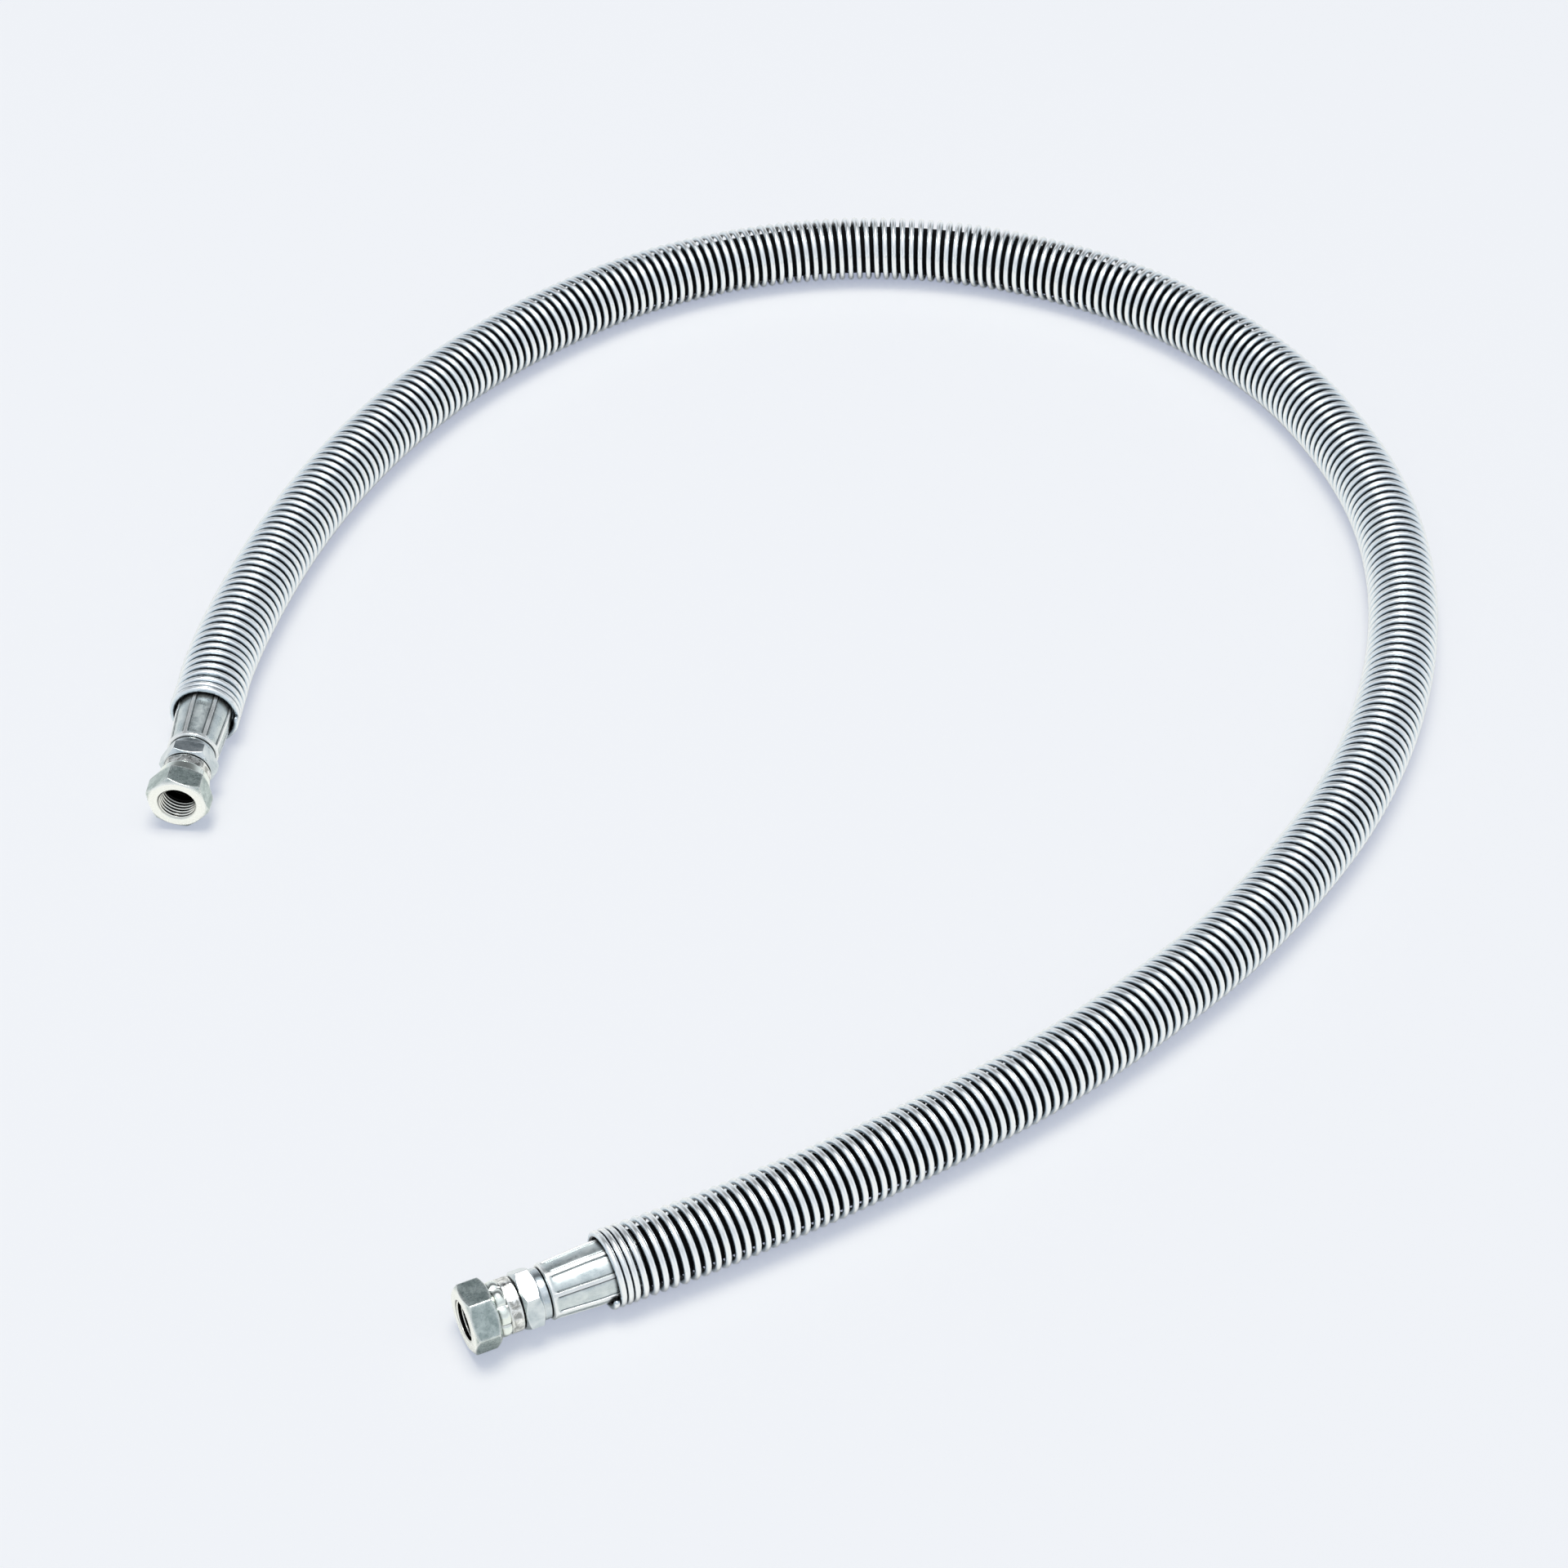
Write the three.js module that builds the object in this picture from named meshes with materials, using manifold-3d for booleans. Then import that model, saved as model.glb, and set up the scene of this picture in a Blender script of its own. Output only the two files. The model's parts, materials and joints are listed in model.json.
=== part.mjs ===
// A hydraulic hose assembly that lies on the floor in one wide open loop.
// A black rubber hose runs inside a spring guard, which is one steel wire wound
// in close turns. Each end carries a crimped ferrule, a nipple with a fixed
// hexagon, and a swivel nut that turns freely on the nipple.
// Millimetres, +Z up. The floor is z = 0, and the origin is the middle of the
// space that the assembly covers.

import * as THREE from "three";
import { mergeVertices } from "three/addons/utils/BufferGeometryUtils.js";
import Module from "manifold-3d";

const wasm = await Module();
wasm.setup();

// Driving dimensions: hose and guard
const hoseOuter = 17.9; // four-spiral hose of 1/4 inch bore
const hoseCore = 13.8; // what is left under a ferrule, where the cover is cut back
const hoseBore = 6.4;
const guardWire = 2.1; // wire of the spring guard, which sets its wall
const guardSlip = 0.35; // play all round where the guard slips over a ferrule
const tubeSides = 12;
const tubeSteps = 62;

// Driving dimensions: ferrule
const ferruleLength = 29;
const ferruleShown = 17.5; // how far it stands out of the guard
const ferruleFrontOuter = 17.3; // over the rim and the ridges
const ferruleBackOuter = 19.1; // over the ridges, behind the flare
const ferruleFlare = 14.5; // from the front to where the shell is at its widest
const ferruleRimWidth = 0.9;
const ferruleLip = 2; // thickness of the turned-in front end
const crimpRidges = 8;
const crimpRidgeWidth = 1.3;
const crimpDepth = 0.35; // how far the die marks lie below the ridges

// Driving dimensions: nipple
const stemBore = 4;
const collarOuter = 15.6;
const collarLength = 2.4;
const grooveOuter = 11; // where the lip of the ferrule grips
const fixedHexFlats = 17;
const fixedHexLength = 5.9;
const neckOuter = 9.8; // the part that the crimped end of the nut turns on
const headOuter = 12.6;
const headLength = 4.2;
const noseOuter = 10.8;
const noseLength = 0.9;
const seatMouth = 8.6; // wide end of the conical sealing seat
const seatDepth = 4;

// Driving dimensions: swivel nut
const nutFlats = 19;
const nutHexLength = 8.8;
const nutNeckLength = 3.2;
const nutCollarLength = 4.2;
const nutNeckOuter = 17.4;
const nutCollarOuter = 16.6;
const nutPresses = 8; // flats pressed into its collar to close it round the nipple
const nutPressedFlats = 16;
const nutThreadBore = 13.2; // thread G 1/4, at the root of the thread
const nutCountersink = 14.2;
const nutLip = 1.2;

// Shared clearances and edges
const clearance = 0.3;
const swivelPlay = 0.5; // between the nut and the fixed hexagon
const hexChamferAngle = THREE.MathUtils.degToRad(33);
const hexFaceShare = 0.95; // face circle of a chamfered hexagon over its width
const edge = 0.5; // small turned edges
const bite = 1; // how deep joined shapes run into each other, and cuts run past a face
const roundSegments = 40;
const crimpSegments = 5; // along each die mark of the ferrule

// How the assembly lies, seen from above. A heading is the direction in which
// an end points out of the loop, in degrees from +X. A roll turns a piece on
// its own axis, in degrees from the level side of that axis.
const endA = { at: [-196.3, 32.6], heading: -95.5, nutRoll: 42, hexRoll: 54, crimpRoll: 59 };
const endB = { at: [-54, -208.9], heading: -154.6, nutRoll: 9, hexRoll: 45, crimpRoll: 37 };
const straightRun = [3, 16]; // points past the ferrule up to which the hose stays straight
const route = [
  [-188, 88], [-177, 126.5], [-162, 163.5], [-142.5, 198.5], [-118.5, 230.5], [-90, 258.5], [-57.5, 282],
  [-21, 298], [18, 306], [57.5, 305], [96, 295], [132, 277], [162.5, 251.5], [187, 220], [204, 184],
  [214.5, 145.5], [217, 105.5], [212.5, 66], [202, 27.5], [186, -9.5], [165, -43.5], [140.5, -75],
  [112.5, -103], [82, -129], [49, -152], [15, -173],
];

// The guard's diameters, and heights above the floor
const guardBore = ferruleBackOuter + 2 * guardSlip;
const guardOuter = guardBore + 2 * guardWire;
const guardHeight = guardOuter / 2;
const endHeight = guardHeight - guardSlip + clearance;
const hoseHeight = guardHeight - (guardBore - hoseOuter) / 2 + clearance;

// Stations along the axis of an end, from the mouth of the guard outwards
const ferruleFront = ferruleShown;
const ferruleBack = ferruleFront - ferruleLength;
const hoseEnd = ferruleFront - ferruleLip - clearance;
const coverEnd = ferruleBack - clearance;
const stemEnd = ferruleBack + clearance;
const collarBack = ferruleFront + clearance;
const fixedHexBack = collarBack + collarLength;
const fixedHexFront = fixedHexBack + fixedHexLength;
const nutBack = fixedHexFront + swivelPlay;
const nutHexBack = nutBack + nutCollarLength + nutNeckLength;
const nutFront = nutHexBack + nutHexLength;
const headBack = nutBack + nutLip + clearance;
const headFront = headBack + headLength;
const noseFront = headFront + noseLength;

const steel = { metalness: 0.9, roughness: 0.35 };
const finishes = {
  rubber: new THREE.MeshStandardMaterial({ color: 0x15161a, metalness: 0, roughness: 0.6 }),
  wire: new THREE.MeshStandardMaterial({ color: 0xc9d3de, ...steel }),
  ferrule: new THREE.MeshStandardMaterial({ color: 0xb4bbc2, ...steel }),
  nipple: new THREE.MeshStandardMaterial({ color: 0xd8dcdc, ...steel }),
  nut: new THREE.MeshStandardMaterial({ color: 0xbcc9c0, ...steel }),
};

// Turns a closed geometry into a solid for cutting and joining.
function solidOf(geometry) {
  const bare = geometry.clone();
  bare.deleteAttribute("normal");
  bare.deleteAttribute("uv");
  const welded = mergeVertices(bare, 1e-5);
  return new wasm.Manifold(new wasm.Mesh({
    numProp: 3,
    vertProperties: new Float32Array(welded.attributes.position.array),
    triVerts: new Uint32Array(welded.index.array),
  }));
}

function geometryOf(solid) {
  const mesh = solid.getMesh();
  const geometry = new THREE.BufferGeometry();
  geometry.setAttribute("position", new THREE.BufferAttribute(mesh.vertProperties, 3));
  geometry.setIndex(new THREE.BufferAttribute(mesh.triVerts, 1));
  geometry.computeVertexNormals();
  return geometry;
}

// Revolves an outline of [diameter, station] pairs about the Z axis. It starts
// and ends on the axis.
function turned(outline) {
  const points = outline.map(([diameter, station]) => new THREE.Vector2(diameter / 2, station));
  const geometry = new THREE.LatheGeometry(points, roundSegments);
  geometry.rotateX(Math.PI / 2);
  return solidOf(geometry);
}

// A prism with flat sides whose first corner points along +X.
function prism(sides, acrossFlats, from, to) {
  const radius = acrossFlats / 2 / Math.cos(Math.PI / sides);
  const outline = new THREE.Shape();
  for (let i = 0; i < sides; i += 1) {
    const angle = (2 * Math.PI * i) / sides;
    outline[i ? "lineTo" : "moveTo"](radius * Math.cos(angle), radius * Math.sin(angle));
  }
  const geometry = new THREE.ExtrudeGeometry(outline, { depth: to - from, bevelEnabled: false });
  geometry.translate(0, 0, from);
  return solidOf(geometry);
}

// A hexagon whose corners are turned off at both ends.
function chamferedHexagon(acrossFlats, from, to) {
  const face = acrossFlats * hexFaceShare;
  const wide = acrossFlats / Math.cos(Math.PI / 6) + bite;
  const depth = ((wide - face) / 2) * Math.tan(hexChamferAngle);
  const turning = turned([[0, from], [face, from], [wide, from + depth],
    [wide, to - depth], [face, to], [0, to]]);
  return prism(6, acrossFlats, from, to).intersect(turning);
}

function swivelNut(roll) {
  const collarFront = nutBack + nutCollarLength;
  const collarInside = collarFront + edge;
  const neckInside = nutHexBack + bite;
  const collar = turned([[0, nutBack], [nutCollarOuter - 2 * edge, nutBack],
    [nutCollarOuter, nutBack + edge], [nutCollarOuter, collarInside], [0, collarInside]]);
  const pressed = collar.intersect(prism(nutPresses, nutPressedFlats, nutBack, collarInside));
  const neck = turned([[0, collarFront], [nutPressedFlats, collarFront],
    [nutNeckOuter, collarFront + 2 * edge], [nutNeckOuter, neckInside], [0, neckInside]]);
  const chamber = headOuter + 2 * clearance;
  const chamberFront = headFront + clearance;
  const mouthDepth = (nutCountersink - nutThreadBore) / 2;
  const neckHole = neckOuter + 2 * clearance;
  const bore = turned([[0, nutBack - bite], [neckHole, nutBack - bite], [neckHole, nutBack + nutLip],
    [chamber, nutBack + nutLip], [chamber, chamberFront], [nutThreadBore, chamberFront],
    [nutThreadBore, nutFront - mouthDepth], [nutCountersink, nutFront], [nutCountersink, nutFront + bite],
    [0, nutFront + bite]]);
  const hexagon = chamferedHexagon(nutFlats, nutHexBack, nutFront);
  return hexagon.add(neck).add(pressed).subtract(bore).rotate([0, 0, roll]);
}

function nipple(roll) {
  const stemOuter = hoseBore - 2 * clearance;
  const body = turned([[0, stemEnd], [stemOuter, stemEnd], [stemOuter, hoseEnd], [grooveOuter, hoseEnd],
    [grooveOuter, collarBack], [collarOuter, collarBack], [collarOuter, fixedHexBack + bite],
    [neckOuter, fixedHexBack + bite], [neckOuter, headBack], [headOuter, headBack], [headOuter, headFront],
    [noseOuter, headFront], [noseOuter, noseFront], [0, noseFront]]);
  const bore = turned([[0, stemEnd - bite], [stemBore, stemEnd - bite], [stemBore, noseFront - seatDepth],
    [seatMouth, noseFront], [seatMouth, noseFront + bite], [0, noseFront + bite]]);
  const hexagon = chamferedHexagon(fixedHexFlats, fixedHexBack, fixedHexFront).rotate([0, 0, roll]);
  return body.add(hexagon).subtract(bore);
}

// The crimped shell: a narrow raised ridge between the marks of the eight
// crimping dies, a flare towards the back, and a round rim at the front.
function ferrule(roll) {
  const ridge = ferruleBackOuter / 2;
  const section = new THREE.Shape();
  const pitch = (2 * Math.PI) / crimpRidges;
  const half = crimpRidgeWidth / 2 / ridge;
  for (let i = 0; i < crimpRidges; i += 1) {
    const angle = i * pitch;
    section[i ? "lineTo" : "moveTo"](ridge * Math.cos(angle - half), ridge * Math.sin(angle - half));
    section.lineTo(ridge * Math.cos(angle + half), ridge * Math.sin(angle + half));
    section.absarc(0, 0, ridge - crimpDepth, angle + 1.5 * half, angle + pitch - 1.5 * half, false);
  }
  const stations = [ferruleBack, ferruleFront - ferruleFlare, ferruleFront - ferruleRimWidth / 2];
  const widths = [1, 1, ferruleFrontOuter / ferruleBackOuter];
  const steps = stations.length - 1;
  const geometry = new THREE.ExtrudeGeometry(section, {
    depth: steps, steps, bevelEnabled: false, curveSegments: crimpSegments,
  });
  const places = geometry.attributes.position;
  for (let i = 0; i < places.count; i += 1) {
    const step = Math.round(places.getZ(i));
    places.setXYZ(i, widths[step] * places.getX(i), widths[step] * places.getY(i), stations[step]);
  }
  const rimBack = ferruleFront - ferruleRimWidth;
  const rimEdge = ferruleRimWidth / 3;
  const rimFace = ferruleFrontOuter - 2 * rimEdge;
  const rim = turned([[0, rimBack], [rimFace, rimBack], [ferruleFrontOuter, rimBack + rimEdge],
    [ferruleFrontOuter, ferruleFront - rimEdge], [rimFace, ferruleFront], [0, ferruleFront]]);
  const hole = hoseCore + 2 * clearance;
  const grip = grooveOuter + 2 * clearance;
  const lipBack = ferruleFront - ferruleLip;
  const bore = turned([[0, ferruleBack - bite], [hole, ferruleBack - bite], [hole, lipBack], [grip, lipBack],
    [grip, ferruleFront + bite], [0, ferruleFront + bite]]);
  return solidOf(geometry).add(rim).subtract(bore).rotate([0, 0, roll]);
}

// The outward direction of an end, level with the floor.
function outward(end) {
  const heading = THREE.MathUtils.degToRad(end.heading);
  return new THREE.Vector3(Math.cos(heading), Math.sin(heading), 0);
}

// A point on the axis of an end, a distance outwards from the mouth of the guard.
function onAxis(end, distance, height) {
  return new THREE.Vector3(...end.at, height).addScaledVector(outward(end), distance);
}

// The line that a tube follows: straight out of each end, and along the route
// between them.
function lineOfTube(reach, heightAtEnds, heightBetween) {
  const stations = [0, ...straightRun.map((run) => ferruleBack - run)].filter((station) => station < reach);
  const leave = (end) => [reach, ...stations].map((station) => onAxis(end, station, heightAtEnds));
  const between = route.map(([x, y]) => new THREE.Vector3(x, y, heightBetween));
  const points = [...leave(endA), ...between, ...leave(endB).reverse()];
  return new THREE.CatmullRomCurve3(points, false, "centripetal");
}

// A tube whose outer corners lie on its true outside, and whose inner flats lie
// on its true bore.
function tube(outer, bore, line) {
  const corner = (radius, i) => {
    const angle = (2 * Math.PI * i) / tubeSides;
    return new THREE.Vector2(radius * Math.cos(angle), radius * Math.sin(angle));
  };
  const ring = (radius) => Array.from({ length: tubeSides }, (_, i) => corner(radius, i));
  const section = new THREE.Shape(ring(outer / 2));
  section.holes.push(new THREE.Path(ring(bore / 2 / Math.cos(Math.PI / tubeSides))));
  const sweep = { steps: tubeSteps, extrudePath: line, bevelEnabled: false };
  return solidOf(new THREE.ExtrudeGeometry(section, sweep));
}

function piece(name, solid, finish) {
  const mesh = new THREE.Mesh(geometryOf(solid), finish);
  mesh.name = name;
  return mesh;
}

// One end: ferrule, nipple and swivel nut on one axis, which lies level.
function fitting(letter, end) {
  const group = new THREE.Group();
  group.name = `fitting_${letter}`;
  const out = outward(end);
  const side = new THREE.Vector3(-out.y, out.x, 0);
  const up = new THREE.Vector3(0, 0, 1);
  group.add(piece(`ferrule_${letter}`, ferrule(end.crimpRoll), finishes.ferrule));
  group.add(piece(`nipple_${letter}`, nipple(end.hexRoll), finishes.nipple));
  group.add(piece(`swivel_nut_${letter}`, swivelNut(end.nutRoll), finishes.nut));
  group.quaternion.setFromRotationMatrix(new THREE.Matrix4().makeBasis(side, up, out));
  group.position.copy(onAxis(end, 0, endHeight));
  return group;
}

// The hose: its core runs from ferrule to ferrule, and its cover stops short of both.
function hose() {
  const core = tube(hoseCore, hoseBore, lineOfTube(hoseEnd, endHeight, hoseHeight));
  const insideCore = (hoseCore + hoseBore) / 2;
  return tube(hoseOuter, insideCore, lineOfTube(coverEnd, endHeight, hoseHeight)).add(core);
}

const assembly = new THREE.Group();
assembly.name = "hose_assembly";
const guardLine = lineOfTube(0, guardHeight, guardHeight);
assembly.add(piece("rubber_hose", hose(), finishes.rubber));
assembly.add(piece("spring_guard", tube(guardOuter, guardBore, guardLine), finishes.wire));
assembly.add(fitting("a", endA));
assembly.add(fitting("b", endB));

const middle = new THREE.Box3().setFromObject(assembly, true).getCenter(new THREE.Vector3());
assembly.position.set(-middle.x, -middle.y, 0);

export default assembly;
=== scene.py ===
# %% [markdown]
# # A hydraulic hose in a spring guard
#
# The object is a black rubber hose inside one long wound wire, with the same swivel fitting
# pressed onto each end. The solid model of it is loaded first and stays as it is: it gives the
# place of both ends and the axes on which the nuts turn. Everything that shows is then made
# round it in finer detail, in metres, with the floor at z = 0.

# %% Load the solid model
import json
import math

import bpy
import numpy as np
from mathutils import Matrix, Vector


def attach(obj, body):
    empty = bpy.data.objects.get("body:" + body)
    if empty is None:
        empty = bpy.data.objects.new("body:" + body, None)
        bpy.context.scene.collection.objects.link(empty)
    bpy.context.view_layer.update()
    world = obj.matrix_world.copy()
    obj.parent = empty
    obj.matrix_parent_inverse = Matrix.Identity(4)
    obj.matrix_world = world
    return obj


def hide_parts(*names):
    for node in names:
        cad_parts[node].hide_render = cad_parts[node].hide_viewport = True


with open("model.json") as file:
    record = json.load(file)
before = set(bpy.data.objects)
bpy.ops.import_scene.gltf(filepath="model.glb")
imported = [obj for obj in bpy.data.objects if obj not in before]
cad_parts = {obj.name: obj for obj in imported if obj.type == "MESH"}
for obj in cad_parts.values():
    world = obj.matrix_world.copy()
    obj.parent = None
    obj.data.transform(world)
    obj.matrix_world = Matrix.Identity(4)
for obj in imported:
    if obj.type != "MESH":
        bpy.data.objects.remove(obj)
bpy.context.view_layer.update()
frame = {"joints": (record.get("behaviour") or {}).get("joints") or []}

MM = 0.001
UP = Vector((0, 0, 1))

# %% [markdown]
# ## Where the two ends are
#
# Each nut turns on a hinge that stands at the nose of its nipple, on the axis of the fitting.
# So the hinge gives the axis, and the mouth of the guard lies a known way back along it. All
# stations along a fitting are counted from that mouth outwards, in millimetres.

# %% Find the axis and the guard's mouth at each end
NOSE_STATION = 33.2


class End:
    """One end of the hose. Each roll is where a corner or ridge stands round its axis, in degrees."""

    def __init__(self, letter, nut_roll, hex_roll, crimp_roll):
        joint = next(j for j in frame["joints"] if j["name"] == f"nut_{letter}_turn")
        self.letter = letter
        self.out = Vector(joint["axis"]).normalized()
        self.mouth = Vector(joint["pos_m"]) - NOSE_STATION * MM * self.out
        self.side = UP.cross(self.out)
        self.nut_roll = nut_roll
        self.hex_roll = hex_roll
        self.crimp_roll = crimp_roll

    def at(self, station, height):
        """A point on the fitting's axis in plan, at a height of its own, in millimetres."""
        point = self.mouth / MM + station * self.out
        return (point.x, point.y, height)


end_a = End("a", nut_roll=42, hex_roll=54, crimp_roll=59)
end_b = End("b", nut_roll=9, hex_roll=45, crimp_roll=37)
for end in (end_a, end_b):
    mouth = [round(x, 4) for x in end.mouth]
    print("end", end.letter, "mouth", mouth, "out", [round(x, 3) for x in end.out])

# %% [markdown]
# ## The camera
#
# The view looks down at the loop from in front of its open side. A long lens a good metre away
# keeps the near fitting and the far bend at nearly the same scale. The camera aims at the
# middle of the loop, half way up the guard.

# %% Place the camera
VIEW_ELEVATION = math.radians(43)
VIEW_DISTANCE = 1.27086
LENS = 87.93
SENSOR_WIDTH = 36
AIM_RIGHT_OF_MOUTH = 0.1963
AIM_BEFORE_MOUTH = 0.0326
AIM_HEIGHT = 0.012
aim = Vector((end_a.mouth.x + AIM_RIGHT_OF_MOUTH, end_a.mouth.y - AIM_BEFORE_MOUTH, AIM_HEIGHT))
camera_data = bpy.data.cameras.new("camera")
camera_data.lens = LENS
camera_data.sensor_width = SENSOR_WIDTH
camera = bpy.data.objects.new("camera", camera_data)
bpy.context.scene.collection.objects.link(camera)
towards_camera = Vector((0, -math.cos(VIEW_ELEVATION), math.sin(VIEW_ELEVATION)))
camera.location = aim + VIEW_DISTANCE * towards_camera
camera.rotation_euler = (math.pi / 2 - VIEW_ELEVATION, 0, 0)
bpy.context.scene.camera = camera
print("camera at", [round(x, 3) for x in camera.location])

# %% [markdown]
# ## The line of the hose
#
# A stiff hose lies in wide smooth bends. Its line goes straight out of each fitting and then
# through points chosen on the floor plan, in millimetres from the point that the camera aims
# at. A centripetal curve joins them: it passes through every point and can't overshoot between
# them, which a plain spline can.

# %% The route on the floor plan
ROUTE = [
    (-188, 88), (-177, 126.5), (-162, 163.5), (-142.5, 198.5), (-118.5, 230.5), (-90, 258.5), (-57.5, 282),
    (-21, 298), (18, 306), (57.5, 305), (96, 295), (132, 277), (162.5, 251.5), (187, 220), (204, 184),
    (214.5, 145.5), (217, 105.5), (212.5, 66), (202, 27.5), (186, -9.5), (165, -43.5), (140.5, -75),
    (112.5, -103), (82, -129), (49, -152), (15, -173),
]
STRAIGHT_STATIONS = [-14.5, -27.5]
STEPS_PER_SPAN = 40


def centripetal_line(points, steps):
    """A smooth line through points: one cubic for each span, cut into a number of steps."""
    points = np.array(points, float)
    before = 2 * points[0] - points[1]
    after = 2 * points[-1] - points[-2]
    padded = np.vstack([before, points, after])
    u = np.linspace(0, 1, steps, endpoint=False)[:, None]
    spans = []
    for p0, p1, p2, p3 in zip(padded, padded[1:], padded[2:], padded[3:]):
        t0, t1, t2 = (math.sqrt(np.linalg.norm(b - a)) for a, b in ((p0, p1), (p1, p2), (p2, p3)))
        leave = t1 * ((p1 - p0) / t0 - (p2 - p0) / (t0 + t1) + (p2 - p1) / t1)
        arrive = t1 * ((p2 - p1) / t1 - (p3 - p1) / (t1 + t2) + (p3 - p2) / t2)
        bend = 3 * (p2 - p1) - 2 * leave - arrive
        twist = 2 * (p1 - p2) + leave + arrive
        spans.append(p1 + u * leave + u**2 * bend + u**3 * twist)
    return np.vstack([*spans, points[-1:]])


def line_of_tube(reach, height_at_ends, height_between):
    """The line from end a to end b, in millimetres. reach is how far it goes out past each mouth."""
    stations = [reach, *(station for station in (0, *STRAIGHT_STATIONS) if station < reach)]
    from_a = [end_a.at(station, height_at_ends) for station in stations]
    to_b = [end_b.at(station, height_at_ends) for station in reversed(stations)]
    between = [(x + aim.x / MM, y + aim.y / MM, height_between) for x, y in ROUTE]
    return centripetal_line(from_a + between + to_b, STEPS_PER_SPAN)


def run_along(line):
    """How far each point of a line is from its start."""
    gaps = np.linalg.norm(np.diff(line, axis=0), axis=1)
    return np.concatenate([[0], np.cumsum(gaps)])


def points_on(line, runs):
    """The points of a line at given distances from its start."""
    run = run_along(line)
    return np.column_stack([np.interp(runs, run, line[:, axis]) for axis in range(3)])


# %% [markdown]
# ## A tube made of rings
#
# The rubber hose and the guard's wire are both long round bars that follow a line. A curve
# with a bevel would do for their shape, but the finish needs to know where along and around
# the bar each point is. So the rings are placed one by one: each ring gets a centre and two
# directions across the line. The mesh keeps a place on the bar for every vertex: two numbers
# across it, counted from its middle, and the distance along it.

# %% Make a round bar along a line
def mesh_piece(name, points, faces, places, depths=None):
    """A smooth mesh from points in metres. places is where each vertex is on the bare piece, in mm."""
    mesh = bpy.data.meshes.new(name)
    mesh.from_pydata(points.tolist(), [], faces)
    mesh.shade_smooth()
    attribute = mesh.attributes.new("place", "FLOAT_VECTOR", "POINT")
    attribute.data.foreach_set("vector", np.asarray(places, np.float32).ravel())
    if depths is not None:
        attribute = mesh.attributes.new("depth", "FLOAT", "POINT")
        attribute.data.foreach_set("value", np.asarray(depths, np.float32).ravel())
    piece = bpy.data.objects.new(name, mesh)
    bpy.context.scene.collection.objects.link(piece)
    triangles = sum(len(face) - 2 for face in faces)
    print(name, triangles, "triangles")
    return piece


def unit(vectors):
    return vectors / np.linalg.norm(vectors, axis=-1, keepdims=True)


def round_bar(name, centres, across, radius, sides, end_chamfer):
    """A round bar through centres, in mm. across and radius are given for each centre, or for all."""
    along = unit(np.gradient(centres, axis=0))
    across = unit(across - np.sum(across * along, axis=1, keepdims=True) * along)
    third = np.cross(along, across)
    radii = radius + np.zeros(len(centres))
    radii[[0, -1]] -= end_chamfer
    angles = 2 * math.pi * np.arange(sides) / sides
    cosines = np.cos(angles)[None, :, None]
    sines = np.sin(angles)[None, :, None]
    spokes = cosines * across[:, None] + sines * third[:, None]
    points = centres[:, None] + radii[:, None, None] * spokes
    run = np.broadcast_to(run_along(centres)[:, None], points.shape[:2])
    round_about = np.broadcast_to(angles, points.shape[:2])
    widest = radii.max()
    places = np.stack([widest * np.cos(round_about), widest * np.sin(round_about), run], axis=2)
    ring = np.arange(sides)
    start = (np.arange(len(centres) - 1) * sides)[:, None]
    here = start + ring
    beside = start + (ring + 1) % sides
    quads = np.stack([here, beside, beside + sides, here + sides], axis=2).reshape(-1, 4)
    caps = [ring[::-1].tolist(), (ring + (len(centres) - 1) * sides).tolist()]
    return mesh_piece(name, points.reshape(-1, 3) * MM, quads.tolist() + caps, places.reshape(-1, 3))


# %% [markdown]
# ## The rubber hose
#
# This is the hose proper: 18 mm of black rubber over four spirals of wire, which shows as the
# black between the turns of the guard and nearly fills it. The cover is cut back where a
# ferrule grips the hose, so the bar is slimmer there. Its bore is shut away inside the
# fittings, so a solid bar does.

# %% Lay the rubber hose
HOSE_DIAMETER = 17.9
CORE_DIAMETER = 13.8
HOSE_STATION = 15.2
COVER_STATION = -11.8
COVER_EDGE = 0.05
HOSE_HEIGHT = 11.35
HOSE_STEPS = 500
HOSE_SIDES = 36

hose_line = line_of_tube(HOSE_STATION, end_a.mouth.z / MM, HOSE_HEIGHT)
hose_length = run_along(hose_line)[-1]
cover_from = HOSE_STATION - COVER_STATION
cover_ends = [cover_from, hose_length - cover_from]
cover_edges = [cover_end + side * COVER_EDGE for cover_end in cover_ends for side in (-1, 1)]
hose_runs = np.sort(np.concatenate([np.linspace(0, hose_length, HOSE_STEPS), cover_edges]))
in_ferrule = np.minimum(hose_runs, hose_length - hose_runs) < cover_from
hose_radii = np.where(in_ferrule, CORE_DIAMETER, HOSE_DIAMETER) / 2
hose_centres = points_on(hose_line, hose_runs)
upwards = np.tile([0.0, 0.0, 1.0], (len(hose_runs), 1))
rubber_hose = round_bar(
    "rubber_hose_detailed", hose_centres, upwards, hose_radii, HOSE_SIDES, end_chamfer=0.5
)
print("hose centreline", round(hose_length / 1000, 4), "m")

# %% [markdown]
# ## The spring guard
#
# The guard is one steel wire, wound right-handed like a screw thread. At each end two or three
# turns lie against each other, and the wire is cut off square beside the mouth, almost level
# with the middle of the hose. The turns between them stand a little apart, and further apart
# on the far bend than by the near end, where the guard was pushed together. The pitch is added
# up along the line, so that it changes gently, and is stretched by a hair so that the wire ends
# exactly where the real one does. A screw modifier makes a straight coil, but it can't follow a
# bend or change its pitch, so the coil is worked out point by point.

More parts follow.
